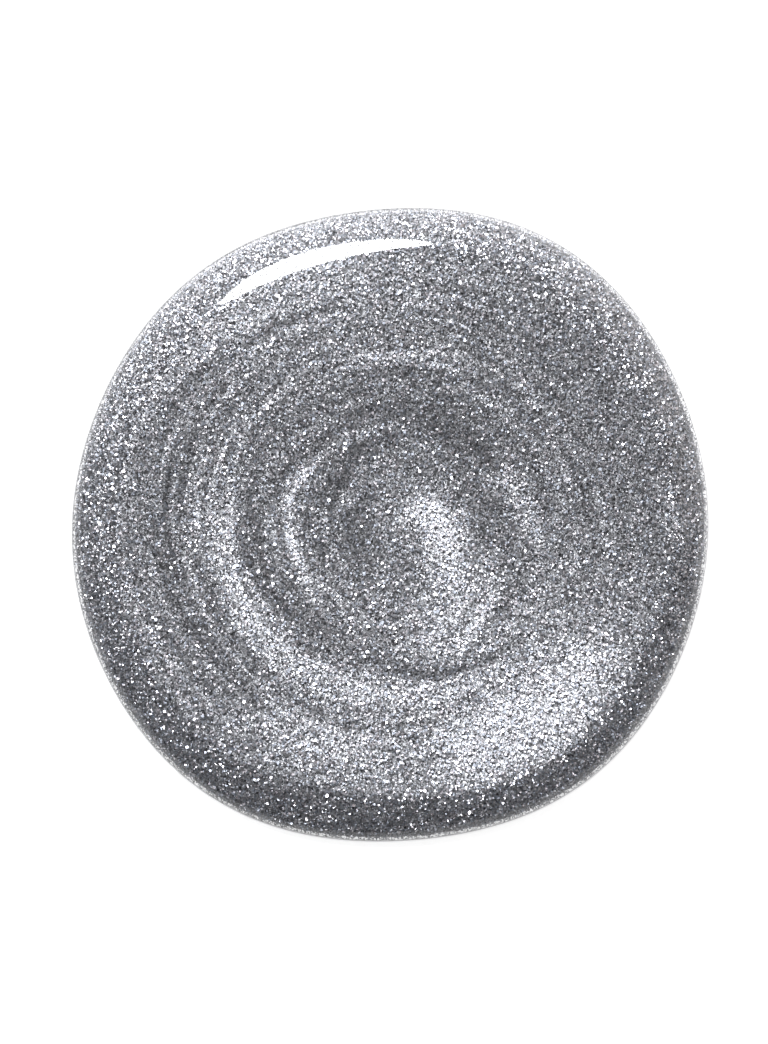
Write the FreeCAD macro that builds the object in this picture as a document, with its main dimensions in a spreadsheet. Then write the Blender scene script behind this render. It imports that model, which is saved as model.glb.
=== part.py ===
import FreeCAD, Part
import math
import os

from FreeCAD import Placement, Rotation, Vector

# A poured drop of nail lacquer filled with silver glitter, set hard on a flat surface.
# Millimetres, +Z up, origin at the middle of the flat underside.
#
# The drop is a wide puddle: a level crown, a shoulder line, and a shoulder that turns down from
# there to the foot. Across the shoulder the skin is a superellipse,
#     height = thickness * (1 - share ** bend) ** (1 / roundness),
# where share runs from 0 at the shoulder line to 1 at the foot. The shoulder is wider on one
# side of the drop than on the other, and swells at the top and at the bottom of the outline. The
# pigmented core under the clear skin has the same shoulder line and the same curve, but is lower
# and narrower.

# name: (value, what it is)
DIMENSIONS = {
    "mean_radius": (14.0, "mean radius of the outline"),
    "two_lobe": (0.010, "share of the radius that two opposite bulges add"),
    "two_lobe_turn": (49.0, "direction of one of the two, degrees"),
    "three_lobe": (0.005, "share of the radius that three bulges add"),
    "three_lobe_turn": (-46.0, "direction of one of the three, degrees"),
    "four_lobe": (0.0085, "share of the radius that four bulges add"),
    "four_lobe_turn": (50.0, "direction of one of the four, degrees"),
    "six_lobe": (0.0045, "share of the radius that six bulges add"),
    "six_lobe_turn": (3.0, "direction of one of the six, degrees"),
    "middle_across": (0.066, "shift that puts the middle of the outline's box at X zero"),
    "middle_up": (-0.060, "shift that puts the middle of the outline's box at Y zero"),
    "thickness": (1.90, "height of the level crown"),
    "shoulder": (1.85, "mean width of the shoulder, from the shoulder line to the foot"),
    "shoulder_sway": (0.30, "how much wider than the mean the shoulder is at its widest"),
    "shoulder_sway_turn": (175.0, "direction in which it is widest, degrees"),
    "top_swell": (0.30, "how much wider it is at the top of the outline"),
    "top_swell_turn": (107.0, "direction of that swell, degrees"),
    "bottom_swell": (0.35, "how much wider it is at the bottom of the outline"),
    "bottom_swell_turn": (257.0, "direction of that swell, degrees"),
    "swell_reach": (15.0, "how far each way a swell reaches, degrees"),
    "bend": (1.25, "how gently the skin turns down at the shoulder line"),
    "roundness": (3.0, "how full the skin is at the foot"),
    "film": (0.30, "clear lacquer over the pigmented core"),
    "foot": (0.20, "clear lacquer round the core, at the foot"),
    "coarse_cut": (0.20, "coarse glitter, across corners"),
    "medium_cut": (0.15, "medium glitter, across corners"),
    "fine_cut": (0.10, "fine glitter, across corners"),
    "foil": (0.025, "thickness of the metallised film that glitter is cut from"),
    "glitter_depth": (0.12, "depth of the glitter's middles under the skin"),
    "glitter_tilt": (9.0, "most that a flake leans from the skin over it, degrees"),
    "glitter_inset": (0.6, "where the shoulder's glitter starts, inside the edge"),
    "glitter_count": (240, "flakes under the crown and the shoulder"),
    "rim_inset": (0.10, "where the rim's glitter is, inside the edge"),
    "rim_depth": (0.09, "depth of the rim's glitter under the skin"),
    "rim_count": (36, "flakes round the rim"),
}

LOBES = {"two": 2, "three": 3, "four": 4, "six": 6}
SWELLS = ("top", "bottom")
CUTS = ("coarse", "medium", "fine")
OUTLINE_POINTS = 36
# Where the lofts have their sections, as shares of the shoulder's width from the foot inward.
SECTION_SHARES = (0.03, 0.10, 0.22, 0.37, 0.53, 0.69, 0.83, 0.93, 0.98, 1.0)
GOLDEN_TURN = 137.508
GOLDEN_SHARE = 0.618

doc = FreeCAD.newDocument("glitter_drop")
dims = doc.addObject("Spreadsheet::Sheet", "dims")


def fill_sheet():
    """One row for each driving dimension: what it is, its value, and its alias."""
    for row, (name, (value, words)) in enumerate(DIMENSIONS.items(), start=1):
        dims.set(f"A{row}", words)
        dims.set(f"B{row}", str(value))
        dims.setAlias(f"B{row}", name)
    doc.recompute()


def dim(name):
    return float(dims.get(name))


# ------------------------------------------------------------ the shape of the drop


def outline_radius(turn):
    """Distance from the drop's middle to its edge in this direction, in degrees."""
    bulge = 0.0
    for word, count in LOBES.items():
        away = math.radians(turn - dim(f"{word}_lobe_turn"))
        bulge += dim(f"{word}_lobe") * math.cos(count * away)
    return dim("mean_radius") * (1 + bulge)


def shoulder_width(turn):
    """Distance from the edge in to the shoulder line in this direction, in degrees."""
    width = dim("shoulder")
    width += dim("shoulder_sway") * math.cos(math.radians(turn - dim("shoulder_sway_turn")))
    for word in SWELLS:
        away = (turn - dim(f"{word}_swell_turn") + 180) % 360 - 180
        width += dim(f"{word}_swell") * math.exp(-0.5 * (away / dim("swell_reach")) ** 2)
    return width


def outline_point(turn, inset, height):
    """The point at this height that lies inset from the edge in this direction."""
    way = math.radians(turn)
    radius = outline_radius(turn) - inset
    across = dim("middle_across") + radius * math.cos(way)
    up = dim("middle_up") + radius * math.sin(way)
    return Vector(across, up, height)


def section_curve(foot, share):
    """A closed smooth curve this share of the way from a dome's foot to its shoulder line."""
    points = []
    for step in range(OUTLINE_POINTS):
        turn = 360.0 * step / OUTLINE_POINTS
        points.append(outline_point(turn, foot + share * (shoulder_width(turn) - foot), 0))
    curve = Part.BSplineCurve()
    curve.interpolate(Points=points, PeriodicFlag=True)
    return curve


def skin_height_and_slope(turn, inset):
    """Height of the drop's skin at this distance inside its edge, and its slope in radians."""
    width, bend, roundness = shoulder_width(turn), dim("bend"), dim("roundness")
    share = max(0.0, 1 - inset / width)
    left = 1 - share**bend
    height = dim("thickness") * left ** (1 / roundness)
    rise = dim("thickness") / width * left ** (1 / roundness - 1) / roundness
    return height, math.atan(rise * bend * share ** (bend - 1))


# ------------------------------------------------------------ lacquer


def section(body, name, curve, rise):
    """A sketch that holds this curve, raised by an expression."""
    base_plane = next(f for f in body.Origin.OriginFeatures if f.Role == "XY_Plane")
    sketch = body.newObject("Sketcher::SketchObject", name)
    sketch.AttachmentSupport = (base_plane, [""])
    sketch.MapMode = "FlatFace"
    sketch.addGeometry(curve, False)
    sketch.setExpression("AttachmentOffset.Base.z", rise)
    return sketch


def add_dome(body, kind, name, top_words, foot):
    """Lofts a dome into the body: its top as an expression, and its foot inside the edge."""
    sections = [section(body, f"{name}_foot", section_curve(foot, 0.0), "0 mm")]
    for number, share in enumerate(SECTION_SHARES, start=1):
        height_share = f"(1 - {1 - share:.4f} ^ dims.bend) ^ (1 / dims.roundness)"
        rise = f"({top_words}) * {height_share} * 1 mm"
        curve = section_curve(foot, share)
        sections.append(section(body, f"{name}_section_{number}", curve, rise))
    doc.recompute()
    loft = body.newObject(f"PartDesign::{kind}Loft", name)
    loft.Profile = sections[0]
    loft.Sections = sections[1:]
    loft.Ruled = False
    body.Tip = loft
    doc.recompute()


def pigmented_lacquer():
    """The grey core, thick with aluminium pigment, that rests on the surface below."""
    body = doc.addObject("PartDesign::Body", "core")
    add_dome(body, "Additive", "core_dome", "dims.thickness - dims.film", dim("foot"))
    body.Label = "pigmented_lacquer"
    return body


def clear_skin():
    """The clear lacquer over and round the core, before the glitter's pockets."""
    body = doc.addObject("PartDesign::Body", "skin")
    add_dome(body, "Additive", "skin_dome", "dims.thickness", 0.0)
    whole = body.Shape.Volume
    add_dome(body, "Subtractive", "skin_hollow", "dims.thickness - dims.film", dim("foot"))
    if body.Shape.Volume > 0.5 * whole:
        raise RuntimeError("the hollow for the core is missing")
    return body


def clear_lacquer(skin, flakes):
    """The clear skin with a closed pocket round each flake."""
    shells = [skin.Shape.Solids[0].Shells[0]]
    shells += [flake.Shells[0].reversed() for flake in flakes]
    lacquer = doc.addObject("Part::Feature", "clear_lacquer")
    lacquer.Shape = Part.makeSolid(Part.makeCompound(shells))
    lacquer.Placement = Placement()
    if len(lacquer.Shape.Solids) != 1 or len(lacquer.Shape.Shells) != len(flakes) + 1:
        raise RuntimeError("a pocket is missing from the clear lacquer")
    return lacquer


# ------------------------------------------------------------ glitter


def hexagon_plate(across):
    """A flake as it is cut, level and with its middle at the origin."""
    foil = dim("foil")
    corners = []
    for step in range(7):
        way = math.radians(60 * step)
        corners.append(Vector(across / 2 * math.cos(way), across / 2 * math.sin(way), -foil / 2))
    return Part.Face(Part.makePolygon(corners)).extrude(Vector(0, 0, foil))


def flake_under_skin(across, turn, inset, depth, tilt, spin):
    """A flake that lies along the skin over it, at this depth, but for its tilt in degrees."""
    height, slope = skin_height_and_slope(turn, inset)
    way = math.radians(turn)
    outward = Vector(math.cos(way), math.sin(way), 0)
    facing = outward * math.sin(slope) + Vector(0, 0, math.cos(slope))
    along_skin = Rotation(Vector(0, 0, 1), facing)
    tilt_axis = Vector(math.cos(math.radians(spin)), math.sin(math.radians(spin)), 0)
    lie = along_skin.multiply(Rotation(tilt_axis, tilt))
    lie = lie.multiply(Rotation(Vector(0, 0, 1), 2 * spin))
    flake = hexagon_plate(across)
    flake.Placement = Placement(outline_point(turn, inset, height) - facing * depth, lie)
    return flake


def skin_glitter():
    """Flakes spread evenly under the skin in golden-angle order, by the node they are in."""
    groups = {f"{cut}_glitter_{zone}": [] for zone in ("crown", "shoulder") for cut in CUTS}
    count = int(dim("glitter_count"))
    widest = dim("mean_radius") - dim("glitter_inset")
    for index in range(count):
        inset = dim("mean_radius") - widest * math.sqrt((index + 0.5) / count)
        turn = GOLDEN_TURN * index
        cut = CUTS[index % len(CUTS)]
        zone = "shoulder" if inset < shoulder_width(turn) else "crown"
        tilt = dim("glitter_tilt") * ((GOLDEN_SHARE * index) % 1)
        across = dim(f"{cut}_cut")
        flake = flake_under_skin(across, turn, inset, dim("glitter_depth"), tilt, 77.0 * index)
        groups[f"{cut}_glitter_{zone}"].append(flake)
    return groups


def rim_glitter():
    """Fine flakes standing in the clear rim, evenly round the drop."""
    count = int(dim("rim_count"))
    across, inset, depth = dim("fine_cut"), dim("rim_inset"), dim("rim_depth")
    turns = [360.0 * index / count for index in range(count)]
    return [flake_under_skin(across, turn, inset, depth, 0.0, 30.0) for turn in turns]


def glitter_node(name, flakes):
    node = doc.addObject("Part::Feature", name)
    node.Shape = Part.makeCompound(flakes)
    node.Placement = Placement()
    return node


# ------------------------------------------------------------ the whole drop


def check(nodes):
    """Stops if anything in the document failed, or if a sub-part has no sound shape."""
    for thing in doc.Objects:
        if "Invalid" in thing.State or "Error" in thing.State:
            raise RuntimeError(f"{thing.Name} failed: {thing.State}")
    for node in nodes:
        if node.Shape.isNull() or not node.Shape.isValid():
            raise RuntimeError(f"{node.Label} has no sound shape")


def export(nodes):
    os.makedirs("parts", exist_ok=True)
    for node in nodes:
        node.Shape.exportStep(f"parts/{node.Label}.step")
        box = node.Shape.BoundBox
        print(
            f"{node.Label}: {len(node.Shape.Solids)} solids, {node.Shape.Volume:.3f} mm3, "
            f"X {box.XMin:.3f} to {box.XMax:.3f}, Y {box.YMin:.3f} to {box.YMax:.3f}, "
            f"Z {box.ZMin:.3f} to {box.ZMax:.3f}"
        )


fill_sheet()
groups = skin_glitter()
groups["fine_glitter_rim"] = rim_glitter()
flakes = [flake for group in groups.values() for flake in group]
nodes = [pigmented_lacquer(), clear_lacquer(clear_skin(), flakes)]
nodes += [glitter_node(name, group) for name, group in groups.items()]
doc.recompute()
check(nodes)
export(nodes)
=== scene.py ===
import math

import bpy
import numpy as np
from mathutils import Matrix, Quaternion, Vector


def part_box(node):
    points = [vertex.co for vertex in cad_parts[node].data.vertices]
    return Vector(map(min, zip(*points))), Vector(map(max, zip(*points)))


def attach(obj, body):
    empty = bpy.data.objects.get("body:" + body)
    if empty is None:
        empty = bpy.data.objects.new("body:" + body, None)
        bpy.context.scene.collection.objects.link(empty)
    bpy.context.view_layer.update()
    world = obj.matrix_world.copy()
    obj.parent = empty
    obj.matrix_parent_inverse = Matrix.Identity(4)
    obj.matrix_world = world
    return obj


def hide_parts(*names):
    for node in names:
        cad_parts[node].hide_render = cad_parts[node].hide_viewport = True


# A poured drop of silver glitter nail lacquer on a white surface, seen from straight above.
# Metres, +Z up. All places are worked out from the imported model's boxes.

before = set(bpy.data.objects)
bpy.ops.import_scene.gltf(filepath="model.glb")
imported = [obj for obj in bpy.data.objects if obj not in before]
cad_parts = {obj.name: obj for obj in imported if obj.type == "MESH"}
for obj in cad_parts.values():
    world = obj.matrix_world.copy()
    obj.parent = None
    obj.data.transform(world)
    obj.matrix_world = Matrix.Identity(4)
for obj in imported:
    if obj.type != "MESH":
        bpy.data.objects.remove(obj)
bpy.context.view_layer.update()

MM = 0.001
TURN = 2 * math.pi

# ------------------------------------------------------------ the drop's shape

# A level crown runs out to the shoulder line, and a rounded shoulder from there to the edge.
# The outline: (bulges round the drop, share of the radius they add, direction of one, degrees)
LOBES = ((2, 0.010, 49.0), (3, 0.005, -46.0), (4, 0.0085, 50.0), (6, 0.0045, 3.0))
# The shoulder's mean width, how much wider it is at its widest, and in which direction that is.
SHOULDER = 1.85 * MM
SHOULDER_SWAY = 0.30 * MM
SHOULDER_SWAY_TURN = math.radians(175.0)
# Where it swells as well: (how much wider it is, direction in degrees), and how many degrees far.
SWELLS = ((0.30 * MM, 107.0), (0.35 * MM, 257.0))
SWELL_REACH = 15.0
# How gently the skin turns down at the shoulder line, and how full it is at the foot.
BEND = 1.25
ROUNDNESS = 3.0
# The slope has no end at the foot itself, so it is taken at this share of the way there.
NEAR_FOOT = 0.9999

# Points round a dome, and rings of points across its shoulder and its crown.
SECTORS = 360
SHOULDER_RINGS = 36
CROWN_RINGS = 60


def outline_share(turn):
    """Distance from the middle to the edge in this direction, as a share of the mean radius."""
    return 1 + sum(size * np.cos(count * (turn - math.radians(way))) for count, size, way in LOBES)


def fit_outline():
    """Mean radius and middle of the outline that fills the clear lacquer's box, and the heights
    of the skin and the core and the width of the clear foot, from the two lacquers' boxes."""
    turns = np.linspace(0, TURN, 3600, endpoint=False)
    across = outline_share(turns) * np.cos(turns)
    up = outline_share(turns) * np.sin(turns)
    low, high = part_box("clear_lacquer")
    radius = (high.x - low.x) / (across.max() - across.min())
    middle_x = (high.x + low.x) / 2 - radius * (across.max() + across.min()) / 2
    middle_y = (high.y + low.y) / 2 - radius * (up.max() + up.min()) / 2
    core_low, core_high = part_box("pigmented_lacquer")
    foot = ((high.x - low.x) - (core_high.x - core_low.x)) / 2
    return radius, np.array([middle_x, middle_y]), high.z, core_high.z, foot


RADIUS, MIDDLE, THICKNESS, CORE_TOP, CORE_FOOT = fit_outline()


def shoulder_width(turn):
    """Distance from the edge in to the shoulder line, in this direction in radians."""
    width = SHOULDER + SHOULDER_SWAY * np.cos(turn - SHOULDER_SWAY_TURN)
    for swell, way in SWELLS:
        away = (np.degrees(turn) - way + 180) % 360 - 180
        width = width + swell * np.exp(-0.5 * (away / SWELL_REACH) ** 2)
    return width


def height_and_slope(turn, inset, foot=0.0, top=THICKNESS):
    """Height of a dome and the tangent of its slope, at this distance inside the drop's edge."""
    shoulder = shoulder_width(turn)
    width = shoulder - foot
    share = np.clip((shoulder - inset) / width, 0, NEAR_FOOT)
    left = 1 - share**BEND
    height = top * left ** (1 / ROUNDNESS)
    slope = top / width * left ** (1 / ROUNDNESS - 1) / ROUNDNESS * BEND * share ** (BEND - 1)
    return height, slope


def dome_rings(foot, top, base):
    """Rings of a dome from its foot, at the height base, to near its middle, and its middle."""
    turns = np.linspace(0, TURN, SECTORS, endpoint=False)
    ways = np.array([np.cos(turns), np.sin(turns)])
    edge = RADIUS * outline_share(turns)
    rings = []
    for share in np.linspace(0, 1, SHOULDER_RINGS) ** 2:
        insets = foot + share * (shoulder_width(turns) - foot)
        height = np.maximum(height_and_slope(turns, insets, foot, top)[0], base)
        rings.append(np.vstack([MIDDLE[:, None] + (edge - insets) * ways, height]).T)
    for share in np.linspace(1, 0, CROWN_RINGS + 1)[1:-1]:
        radii = share * (edge - shoulder_width(turns))
        height = np.full(SECTORS, top)
        rings.append(np.vstack([MIDDLE[:, None] + radii * ways, height]).T)
    return rings, np.array([[MIDDLE[0], MIDDLE[1], top]])


def band_faces(first, second, sectors):
    """Quads between two rings of vertices that start at these indices."""
    return [
        (first + i, first + (i + 1) % sectors, second + (i + 1) % sectors, second + i)
        for i in range(sectors)
    ]


def fan_faces(ring, middle, sectors):
    """Triangles between a ring of vertices that starts at this index and one in its middle."""
    return [(ring + i, ring + (i + 1) % sectors, middle) for i in range(sectors)]


def make_object(name, points, faces, smooth=True):
    """A mesh object in the scene, with smooth or flat faces."""
    mesh = bpy.data.meshes.new(name)
    mesh.from_pydata(np.asarray(points).tolist(), [], faces)
    mesh.validate()
    mesh.update()
    if smooth:
        mesh.shade_smooth()
    else:
        mesh.shade_flat()
    piece = bpy.data.objects.new(name, mesh)
    bpy.context.scene.collection.objects.link(piece)
    return piece


def dome_surface(foot, top, base):
    """Points and faces of an open dome that faces up. Its first points are the ring at its foot."""
    rings, middle = dome_rings(foot, top, base)
    faces = []
    for number in range(len(rings) - 1):
        faces += band_faces(number * SECTORS, (number + 1) * SECTORS, SECTORS)
    faces += fan_faces((len(rings) - 1) * SECTORS, len(rings) * SECTORS, SECTORS)
    return np.vstack(rings + [middle]), faces


# ------------------------------------------------------------ how the glitter lies

# The direction of the main light, in degrees and as a level vector.
KEY_TURN = 107.0
KEY_WAY = np.array([math.cos(math.radians(KEY_TURN)), math.sin(math.radians(KEY_TURN))])

# Flakes follow the skin over them this much, and lean outward no further than this, in degrees.
FOLLOW = 0.5
MOST_LEAN = 17.0

# Streaks left by the pour: (radius share at the start and at the end, start and end direction in
# degrees, half width as a share of the radius, how far the flakes lean to the light, degrees)
STREAKS = (
    (0.08, 0.22, 45, -45, 0.070, 17.0),
    (0.53, 0.53, 172, 264, 0.055, 9.0),
    (0.43, 0.42, 165, 250, 0.040, -7.0),
    (0.30, 0.32, 127, 219, 0.018, 13.0),
    (0.24, 0.25, 105, 215, 0.030, -6.0),
    (0.12, 0.12, 140, 250, 0.070, -7.0),
    (0.72, 0.74, 282, 328, 0.125, 18.0),
    (0.73, 0.73, 234, 270, 0.080, 8.0),
    (0.52, 0.52, 255, 335, 0.060, 7.0),
    (0.36, 0.45, 28, -8, 0.045, 10.0),
    (0.34, 0.42, -19, -60, 0.020, 12.0),
    (0.30, 0.36, -35, -80, 0.070, 8.0),
    (0.45, 0.54, -90, -34, 0.018, -12.0),
    (0.37, 0.37, 30, 80, 0.030, -7.0),
    (0.50, 0.58, 120, 65, 0.014, 9.0),
    (0.80, 0.80, 95, 140, 0.060, 6.0),
    (0.87, 0.89, 6, -4, 0.020, 11.0),
    (0.82, 0.82, -10, 60, 0.060, -4.0),
    (0.36, 0.36, -15, 155, 0.180, -5.5),
    (0.68, 0.68, 0, 75, 0.120, -4.0),
    (0.70, 0.70, 140, 230, 0.100, -4.5),
)

# The streaks wander off a circle by these shares: (waves round the drop, share, shift in degrees)
WANDERS = ((2, 0.020, -60.0), (3, 0.012, 20.0))
# A streak fades at its ends over this share of half its length, and one degree more.
STREAK_FADE = 0.15

# Fine broken streaks that run round the drop: a sum of waves, each with a lean in degrees, a
# number of crests across the radius and a number of crests round the drop.
STREAK_SEED = 11
WAVE_COUNT = 40
WAVE_LEAN = 0.75
WAVE_CRESTS_ACROSS = (7, 30)
WAVE_CRESTS_ROUND = 8
# They are strongest in one direction, by this much more and less than their mean strength there.
WAVE_SIDE = math.radians(170.0)
WAVE_MEAN = 0.65
WAVE_SWAY = 0.35
# They are strongest at this share of the radius and fade this far from it.
WAVE_RADIUS = 0.45
WAVE_REACH = 0.38


def fine_streaks(share, turn):
    """How far the fine streaks lean the flakes at this share of the radius and turn, degrees."""
    rng = np.random.default_rng(STREAK_SEED)
    lean = np.zeros_like(share)
    for _ in range(WAVE_COUNT):
        across = rng.uniform(*WAVE_CRESTS_ACROSS)
        around = rng.integers(-WAVE_CRESTS_ROUND, WAVE_CRESTS_ROUND + 1)
        phase = rng.random()
        lean += WAVE_LEAN * np.sin(TURN * (across * share + around * turn / 360 + phase))
    side = WAVE_MEAN + WAVE_SWAY * np.cos(np.radians(turn) - WAVE_SIDE)
    return lean * side * np.exp(-(((share - WAVE_RADIUS) / WAVE_REACH) ** 4))


def lean_angle(x, y):
    """How far the flakes at these places lean towards the light, in degrees."""
    dx, dy = x - MIDDLE[0], y - MIDDLE[1]
    turn = np.degrees(np.arctan2(dy, dx))
    wander = sum(size * np.cos(count * np.radians(turn + shift)) for count, size, shift in WANDERS)
    share = np.hypot(dx, dy) / RADIUS * (1 + wander)
    lean = fine_streaks(share, turn)
    for start, end, from_turn, to_turn, width, angle in STREAKS:
        centre = (from_turn + to_turn) / 2
        half = abs(to_turn - from_turn) / 2
        along = (turn - centre + 180) % 360 - 180
        progress = np.clip(along / (to_turn - from_turn) + 0.5, 0, 1)
        radius = start + (end - start) * progress
        across = np.exp(-(((share - radius) / width) ** 2))
        ends = 1 / (1 + np.exp((np.abs(along) - half) / (STREAK_FADE * half + 1)))
        lean += angle * across * ends
    return lean


def facing_of_flakes(turns, slope, x, y):
    """Which way level-lying flakes face at these places: vectors whose third part is 1."""
    outward = np.minimum(FOLLOW * np.arctan(slope), math.radians(MOST_LEAN))
    away = np.array([np.cos(turns), np.sin(turns)])
    to_light = np.tan(np.radians(lean_angle(x, y)))
    flat = away * np.tan(outward) + KEY_WAY[:, None] * to_light
    return np.vstack([flat, np.ones(len(turns))])


# ------------------------------------------------------------ materials


def new_material(name):
    """An empty node material, its nodes and its links."""
    material = bpy.data.materials.new(name)
    material.use_nodes = True
    material.node_tree.nodes.clear()
    return material, material.node_tree.nodes, material.node_tree.links


# The pigment's grain: its size, how far grains lean from their mean, and their tones.
GRAIN = 0.055 * MM
GRAIN_LEAN = 0.38
DARKEST_GRAIN = (0.15, 0.15, 0.159, 1)
BRIGHTEST_GRAIN = (0.68, 0.685, 0.712, 1)


def core_material():
    """Metallic grains that each face near the direction that the surface carries."""
    material, nodes, links = new_material("pigmented_lacquer")
    out = nodes.new("ShaderNodeOutputMaterial")
    shader = nodes.new("ShaderNodeBsdfPrincipled")
    place = nodes.new("ShaderNodeTexCoord")
    cells = nodes.new("ShaderNodeTexVoronoi")
    centred = nodes.new("ShaderNodeVectorMath")
    scaled = nodes.new("ShaderNodeVectorMath")
    facing = nodes.new("ShaderNodeAttribute")
    with_cells = nodes.new("ShaderNodeVectorMath")
    normal = nodes.new("ShaderNodeVectorMath")
    tone = nodes.new("ShaderNodeValToRGB")
    cells.inputs["Scale"].default_value = 1 / GRAIN
    centred.operation = "SUBTRACT"
    centred.inputs[1].default_value = (0.5, 0.5, 0.5)
    scaled.operation = "SCALE"
    scaled.inputs["Scale"].default_value = GRAIN_LEAN
    facing.attribute_name = "facing"
    with_cells.operation = "ADD"
    normal.operation = "NORMALIZE"
    tone.color_ramp.elements[0].color = DARKEST_GRAIN
    tone.color_ramp.elements[1].color = BRIGHTEST_GRAIN
    shader.inputs["Metallic"].default_value = 1.0
    shader.inputs["Roughness"].default_value = 0.5
    links.new(place.outputs["Object"], cells.inputs["Vector"])
    links.new(cells.outputs["Color"], centred.inputs[0])
    links.new(centred.outputs["Vector"], scaled.inputs[0])
    links.new(facing.outputs["Vector"], with_cells.inputs[0])
    links.new(scaled.outputs["Vector"], with_cells.inputs[1])
    links.new(with_cells.outputs["Vector"], normal.inputs[0])
    links.new(normal.outputs["Vector"], shader.inputs["Normal"])
    links.new(cells.outputs["Color"], tone.inputs["Fac"])
    links.new(tone.outputs["Color"], shader.inputs["Base Color"])
    links.new(shader.outputs["BSDF"], out.inputs["Surface"])
    return material


LACQUER_IOR = 1.5
LACQUER_ROUGHNESS = 0.03


def clear_material(name, tint):
    """Gloss that shines from outside only, and lets this much of each colour through."""
    material, nodes, links = new_material(name)
    out = nodes.new("ShaderNodeOutputMaterial")
    mix = nodes.new("ShaderNodeMixShader")
    see_through = nodes.new("ShaderNodeBsdfTransparent")
    gloss = nodes.new("ShaderNodeBsdfGlossy")
    fresnel = nodes.new("ShaderNodeFresnel")
    side = nodes.new("ShaderNodeNewGeometry")
    outside = nodes.new("ShaderNodeMath")
    share = nodes.new("ShaderNodeMath")
    see_through.inputs["Color"].default_value = (*tint, 1)
    gloss.inputs["Roughness"].default_value = LACQUER_ROUGHNESS
    fresnel.inputs["IOR"].default_value = LACQUER_IOR
    outside.operation = "SUBTRACT"
    outside.inputs[0].default_value = 1.0
    share.operation = "MULTIPLY"
    links.new(side.outputs["Backfacing"], outside.inputs[1])
    links.new(fresnel.outputs["Fac"], share.inputs[0])
    links.new(outside.outputs["Value"], share.inputs[1])
    links.new(share.outputs["Value"], mix.inputs["Fac"])
    links.new(see_through.outputs["BSDF"], mix.inputs[1])
    links.new(gloss.outputs["BSDF"], mix.inputs[2])
    links.new(mix.outputs["Shader"], out.inputs["Surface"])
    return material


def inside_material():
    """The skin's inner face, which touches the core and so doesn't shine."""
    material, nodes, links = new_material("clear_lacquer_inside")
    out = nodes.new("ShaderNodeOutputMaterial")
    see_through = nodes.new("ShaderNodeBsdfTransparent")
    links.new(see_through.outputs["BSDF"], out.inputs["Surface"])
    return material


# Metallised film varies from piece to piece: (word, share of the flakes, red, green and blue
# against the mean tone, roughness against the mean)
FOIL_KINDS = (
    ("plain", 0.39, (1.00, 0.995, 1.00), 1.00),
    ("cool", 0.25, (0.87, 0.92, 1.00), 1.12),
    ("warm", 0.28, (1.08, 1.015, 1.025), 0.92),
    ("dark", 0.08, (0.18, 0.182, 0.19), 1.20),
)


def foil_materials(name, tone, roughness):
    """One material for each kind of film."""
    materials = []
    for word, _, shift, rougher in FOIL_KINDS:
        material, nodes, links = new_material(f"{name}_{word}")
        out = nodes.new("ShaderNodeOutputMaterial")
        shader = nodes.new("ShaderNodeBsdfPrincipled")
        colour = [min(1.0, a * b) for a, b in zip(tone, shift)]
        shader.inputs["Base Color"].default_value = (*colour, 1)
        shader.inputs["Metallic"].default_value = 1.0
        shader.inputs["Roughness"].default_value = roughness * rougher
        links.new(shader.outputs["BSDF"], out.inputs["Surface"])
        materials.append(material)
    return materials


# ------------------------------------------------------------ lacquer pieces


# Heights of the two undersides, and a gap that keeps the skin's inner face off the core.
CORE_BASE = 0.01 * MM
SKIN_BASE = 0.005 * MM
SKIN_GAP = 0.01 * MM


def make_core():
    """The pigmented lacquer: a closed dome whose surface carries the facing of its pigment."""
    points, faces = dome_surface(CORE_FOOT, CORE_TOP, CORE_BASE)
    under = len(points)
    points = np.vstack([points, [[MIDDLE[0], MIDDLE[1], CORE_BASE]]])
    faces += [(i, under, (i + 1) % SECTORS) for i in range(SECTORS)]
    core = make_object("pigmented_lacquer_body", points, faces)
    x, y = points[:, 0], points[:, 1]
    turns = np.arctan2(y - MIDDLE[1], x - MIDDLE[0])
    insets = RADIUS * outline_share(turns) - np.hypot(x - MIDDLE[0], y - MIDDLE[1])
    slope = height_and_slope(turns, insets)[1]
    vectors = facing_of_flakes(turns, slope, x, y).T.astype(np.float32)
    attribute = core.data.attributes.new("facing", "FLOAT_VECTOR", "POINT")
    attribute.data.foreach_set("vector", vectors.ravel())
    core.data.materials.append(core_material())
    return core


# How much of each colour the skin lets through, and less of it at the foot over this many rings
# of faces: a painted shade for the grey the lacquer shows where it is seen edge on.
SKIN_TINT = (0.90, 0.905, 0.912)
EDGE_PAINTED_SHADE_TINT = (0.36, 0.36, 0.37)
EDGE_RINGS = 8


def make_clear():
    """The clear lacquer: a closed shell over and round the core."""
    outer, outer_faces = dome_surface(0.0, THICKNESS, SKIN_BASE)
    inner, inner_faces = dome_surface(CORE_FOOT - SKIN_GAP, CORE_TOP + SKIN_GAP, SKIN_BASE)
    start = len(outer)
    inner_faces = [tuple(start + i for i in reversed(face)) for face in inner_faces]
    under = [tuple(reversed(face)) for face in band_faces(0, start, SECTORS)]
    faces = outer_faces + inner_faces + under
    clear = make_object("clear_lacquer_skin", np.vstack([outer, inner]), faces)
    clear.data.materials.append(clear_material("clear_lacquer", SKIN_TINT))
    clear.data.materials.append(inside_material())
    # The foot's rings get the darker see-through tint, a painted shade for the grey edge.
    clear.data.materials.append(clear_material("clear_lacquer_edge_painted_shade", EDGE_PAINTED_SHADE_TINT))
    slots = np.zeros(len(clear.data.polygons), np.int32)
    slots[len(outer_faces):] = 1
    slots[: EDGE_RINGS * SECTORS] = 2
    clear.data.polygons.foreach_set("material_index", slots)
    return clear


# ------------------------------------------------------------ glitter

# A few flakes lie astray, and lean much further than the rest, in degrees.
ASTRAY_SHARE = 0.10
ASTRAY_TILT = 32.0

FOIL = 0.012 * MM
# Flakes differ in size, and the corners of one flake in reach and turn (radians) as well.
SIZES = (0.75, 1.25)
REACHES = (0.85, 1.15)
CORNER_TURNS = (-0.2, 0.2)
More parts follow.
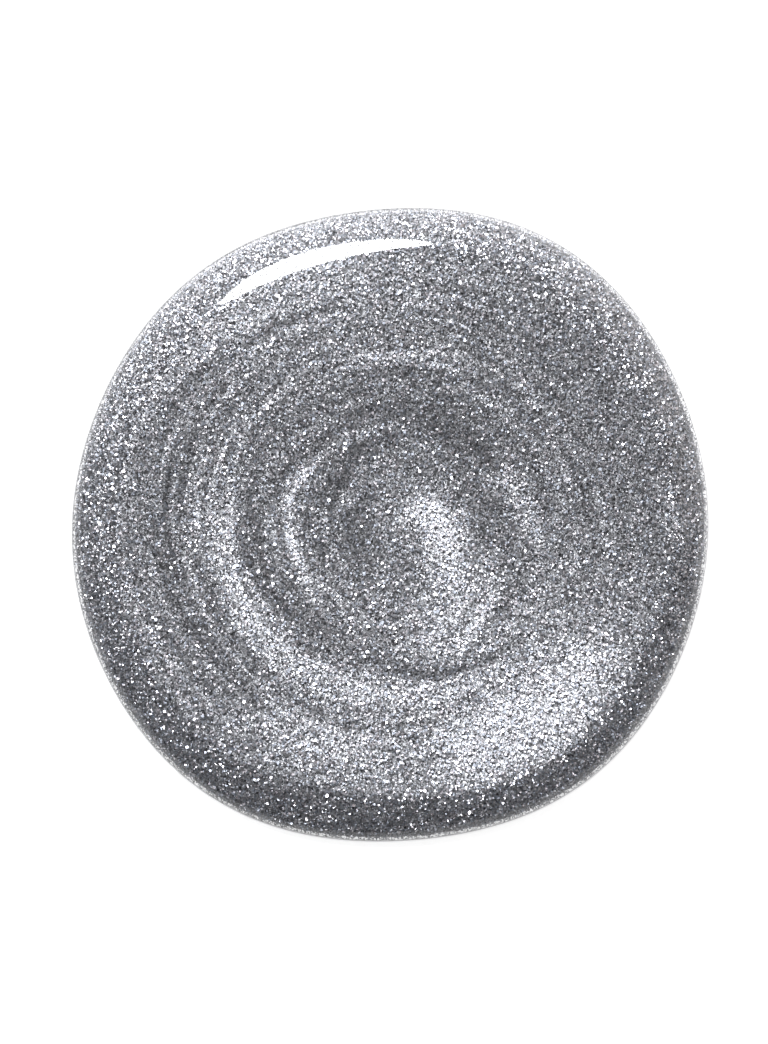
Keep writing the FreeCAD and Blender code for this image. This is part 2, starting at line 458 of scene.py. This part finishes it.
# Clear cover left over every flake, and a little less where the skin is curved.
COVER = 0.005 * MM
# A direction off every flake's own, to work out two more that lie in the flake.
ASKEW = np.array([0.3, 0.8, 0.52])


def distance_from_middle(insets, edge):
    """Where a flake lies that is this far inside a round drop: as far inside the real edge within
    two shoulder widths of it, and further in at the same share of the radius."""
    kept = 2 * SHOULDER
    inner = (RADIUS - insets) * (edge - kept) / (RADIUS - kept)
    return np.where(insets < kept, edge - insets, inner)


def flake_field(rng, reach, count, inset_low, inset_high, depth_low, depth_high, tilt, lean):
    """Places and facings of flakes spread at random over a ring, each wholly under the skin."""
    outer, inner = RADIUS - inset_low, RADIUS - inset_high
    insets = RADIUS - np.sqrt(rng.uniform(inner**2, outer**2, count))
    turns = rng.uniform(0, TURN, count)
    edge = RADIUS * outline_share(turns)
    radii = distance_from_middle(insets, edge)
    x = MIDDLE[0] + radii * np.cos(turns)
    y = MIDDLE[1] + radii * np.sin(turns)
    height, slope = height_and_slope(turns, edge - radii)
    depth = rng.uniform(depth_low, depth_high, count)
    spread = rng.normal(0, math.tan(math.radians(tilt)), (2, count))
    astray = rng.random(count) < ASTRAY_SHARE
    spread[:, astray] *= math.tan(math.radians(ASTRAY_TILT)) / math.tan(math.radians(tilt))
    facing = facing_of_flakes(turns, slope, x, y)
    facing[:2] += spread + KEY_WAY[:, None] * math.tan(math.radians(lean))
    facing /= np.linalg.norm(facing, axis=0)
    away = np.array([np.cos(turns), np.sin(turns)])
    skin_facing = np.vstack([away * slope, np.ones(count)])
    skin_facing /= np.linalg.norm(skin_facing, axis=0)
    rise = reach * np.linalg.norm(np.cross(facing.T, skin_facing.T), axis=1)
    place = np.vstack([x, y, height]) - skin_facing * np.maximum(depth, rise + COVER)
    return place.T, facing.T


def make_flakes(name, rng, across, corners, materials, **field):
    """Closed flat flakes with this many corners, each tapering to a point underneath."""
    place, facing = flake_field(rng, across / 2 * max(SIZES) * max(REACHES), **field)
    count = len(place)
    spin = rng.uniform(0, TURN, count)
    side = np.cross(facing, ASKEW)
    side /= np.linalg.norm(side, axis=1)[:, None]
    other = np.cross(facing, side)
    size = across / 2 * rng.uniform(*SIZES, count)
    points = np.zeros((count, corners + 1, 3))
    for corner in range(corners):
        way = spin + TURN * corner / corners + rng.uniform(*CORNER_TURNS, count)
        reach = size * rng.uniform(*REACHES, count)
        points[:, corner] = place + side * (reach * np.cos(way))[:, None]
        points[:, corner] += other * (reach * np.sin(way))[:, None]
    points[:, corners] = place - facing * FOIL
    faces = []
    for flake in range(count):
        first = flake * (corners + 1)
        faces.append(tuple(first + corner for corner in range(corners)))
        for corner in range(corners):
            faces.append((first + (corner + 1) % corners, first + corner, first + corners))
    flakes = make_object(name, points.reshape(-1, 3), faces, smooth=False)
    for material in materials:
        flakes.data.materials.append(material)
    shares = [share for _, share, _, _ in FOIL_KINDS]
    kinds = np.repeat(rng.choice(len(materials), count, p=shares), corners + 1)
    flakes.data.polygons.foreach_set("material_index", kinds.astype(np.int32))
    return flakes


# ------------------------------------------------------------ the studio

# The floor lies a hair under the drop. Its rings are (radius, height).
FLOOR_HEIGHT = -0.02 * MM
FLOOR_RINGS = ((0.5, FLOOR_HEIGHT), (1.5, FLOOR_HEIGHT), (1.6, 0.15))


def make_floor():
    """A round white floor that turns up into a low wall all round."""
    sectors = 96
    turns = np.linspace(0, TURN, sectors, endpoint=False)
    ways = np.array([np.cos(turns), np.sin(turns)])
    points = [(0, 0, FLOOR_HEIGHT)]
    for radius, height in FLOOR_RINGS:
        points += np.vstack([radius * ways, np.full(sectors, height)]).T.tolist()
    faces = [(0, 1 + i, 1 + (i + 1) % sectors) for i in range(sectors)]
    faces += band_faces(1, 1 + sectors, sectors) + band_faces(1 + sectors, 1 + 2 * sectors, sectors)
    floor = make_object("floor", points, faces, smooth=False)
    material, nodes, links = new_material("floor")
    out = nodes.new("ShaderNodeOutputMaterial")
    shader = nodes.new("ShaderNodeBsdfPrincipled")
    shader.inputs["Base Color"].default_value = (0.9, 0.9, 0.9, 1)
    shader.inputs["Roughness"].default_value = 1.0
    shader.inputs["Specular IOR Level"].default_value = 0.0
    shader.inputs["Emission Color"].default_value = (1, 1, 1, 1)
    shader.inputs["Emission Strength"].default_value = 0.85
    links.new(shader.outputs["BSDF"], out.inputs["Surface"])
    floor.data.materials.append(material)


def area_light(name, turn, zenith, distance, width, depth, radiance, tone=(1, 1, 1), roll=0.0):
    """An oval softbox that faces the drop. Its turn round the drop, its angle from straight
    above and its roll about its own axis are in degrees."""
    light = bpy.data.lights.new(name, "AREA")
    light.shape = "ELLIPSE"
    light.size = width
    light.size_y = depth
    light.energy = radiance * math.pi * width * depth * math.pi / 4
    light.color = tone
    lamp = bpy.data.objects.new(name, light)
    way, lean = math.radians(turn), math.radians(zenith)
    lamp.location = (
        distance * math.sin(lean) * math.cos(way),
        distance * math.sin(lean) * math.sin(way),
        distance * math.cos(lean),
    )
    facing = Vector(lamp.location).to_track_quat("Z", "Y")
    lamp.rotation_euler = (facing @ Quaternion((0, 0, 1), math.radians(roll))).to_euler()
    bpy.context.scene.collection.objects.link(lamp)


def make_lights():
    """The softbox whose reflection is the streak, a wider glow round it, and weak fills."""
    area_light("key_softbox", KEY_TURN, 33, 0.8, 0.29, 0.24, 30.0, roll=17.0)
    area_light("key_glow", KEY_TURN, 34, 0.85, 0.46, 0.28, 2.5, (0.85, 0.93, 1.0), roll=17.0)
    area_light("back_panel", KEY_TURN, 62, 1.1, 1.4, 0.7, 0.9)
    area_light("overhead", 0, 0, 1.0, 0.5, 0.5, 0.3)
    area_light("right_fill", 32, 60, 1.0, 1.3, 0.9, 0.75, (1.0, 0.96, 0.92))
    area_light("left_fill", 165, 60, 1.0, 0.9, 0.8, 0.15, (0.95, 0.97, 1.0))


def make_world():
    """A faint even light from all round."""
    world = bpy.data.worlds.new("studio")
    world.use_nodes = True
    background = world.node_tree.nodes["Background"]
    background.inputs["Color"].default_value = (0.95, 0.97, 1.0, 1)
    background.inputs["Strength"].default_value = 0.05
    bpy.context.scene.world = world


# The picture's height in drop widths, how far the lens is above the drop, where it is aimed
# beside the drop's middle, and the film's height in millimetres.
PICTURE_HEIGHT = 1.631
LENS_HEIGHT = 0.5
AIM = (-0.262 * MM, 0.109 * MM)
FILM_HEIGHT = 36.0


def make_camera():
    """A long lens straight above, aimed a little left of and above the drop's middle."""
    low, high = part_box("clear_lacquer")
    middle = (low + high) / 2
    camera = bpy.data.cameras.new("camera")
    camera.sensor_fit = "VERTICAL"
    camera.sensor_height = FILM_HEIGHT
    camera.lens = FILM_HEIGHT * LENS_HEIGHT / ((high.x - low.x) * PICTURE_HEIGHT)
    camera.clip_start = 0.01
    eye = bpy.data.objects.new("camera", camera)
    eye.location = (middle.x + AIM[0], middle.y + AIM[1], high.z + LENS_HEIGHT)
    bpy.context.scene.collection.objects.link(eye)
    bpy.context.scene.camera = eye


# ------------------------------------------------------------ the whole scene

core = make_core()
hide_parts("pigmented_lacquer")
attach(core, "root")

clear = make_clear()
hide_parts("clear_lacquer")
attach(clear, "root")

FLAKE_SEED = 7
rng = np.random.default_rng(FLAKE_SEED)
# Flake tones: silver is the film's own. The shoulder's coarse and medium flakes get a lighter copy
# of it, a painted highlight, and the rim's flakes a darker copy, a painted shade.
silver = (0.64, 0.638, 0.668)
painted_light_silver = (0.82, 0.82, 0.845)
painted_shade_silver = (0.52, 0.52, 0.545)
# Lengths are in millimetres here and angles in degrees: (node replaced, number of flakes, across
# corners, corners, least and most distance from the edge, least and most depth, how far they
# tilt at random, how far they lean to the light, roughness, tone)
GROUPS = (
    ("coarse_glitter_crown", 6500, 0.125, 6, 1.9, 14.0, 0.03, 0.20, 9.0, 0.0, 0.35, silver),
    ("medium_glitter_crown", 24500, 0.095, 5, 1.9, 14.0, 0.03, 0.20, 8.0, 0.0, 0.45, silver),
    ("fine_glitter_crown", 33000, 0.075, 4, 1.9, 14.0, 0.03, 0.20, 7.0, 0.0, 0.50, silver),
    ("coarse_glitter_shoulder", 3000, 0.120, 6, 0.4, 1.9, 0.03, 0.12, 17.0, -2.0, 0.28, painted_light_silver),
    ("medium_glitter_shoulder", 13000, 0.090, 5, 0.3, 1.9, 0.03, 0.12, 16.0, -2.0, 0.32, painted_light_silver),
    ("fine_glitter_shoulder", 20000, 0.075, 4, 0.12, 1.9, 0.03, 0.10, 12.0, -4.0, 0.45, silver),
    ("fine_glitter_rim", 9000, 0.06, 4, 0.035, 0.26, 0.02, 0.05, 10.0, -4.0, 0.50, painted_shade_silver),
)
for node, count, across, corners, low, high, shallow, deep, tilt, lean, roughness, tone in GROUPS:
    flakes = make_flakes(
        node + "_flakes",
        rng,
        across * MM,
        corners,
        foil_materials(node + "_foil", tone, roughness),
        count=count,
        inset_low=low * MM,
        inset_high=high * MM,
        depth_low=shallow * MM,
        depth_high=deep * MM,
        tilt=tilt,
        lean=lean,
    )
    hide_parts(node)
    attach(flakes, "root")

make_floor()
make_lights()
make_world()
make_camera()
bpy.context.scene.view_settings.view_transform = "Standard"
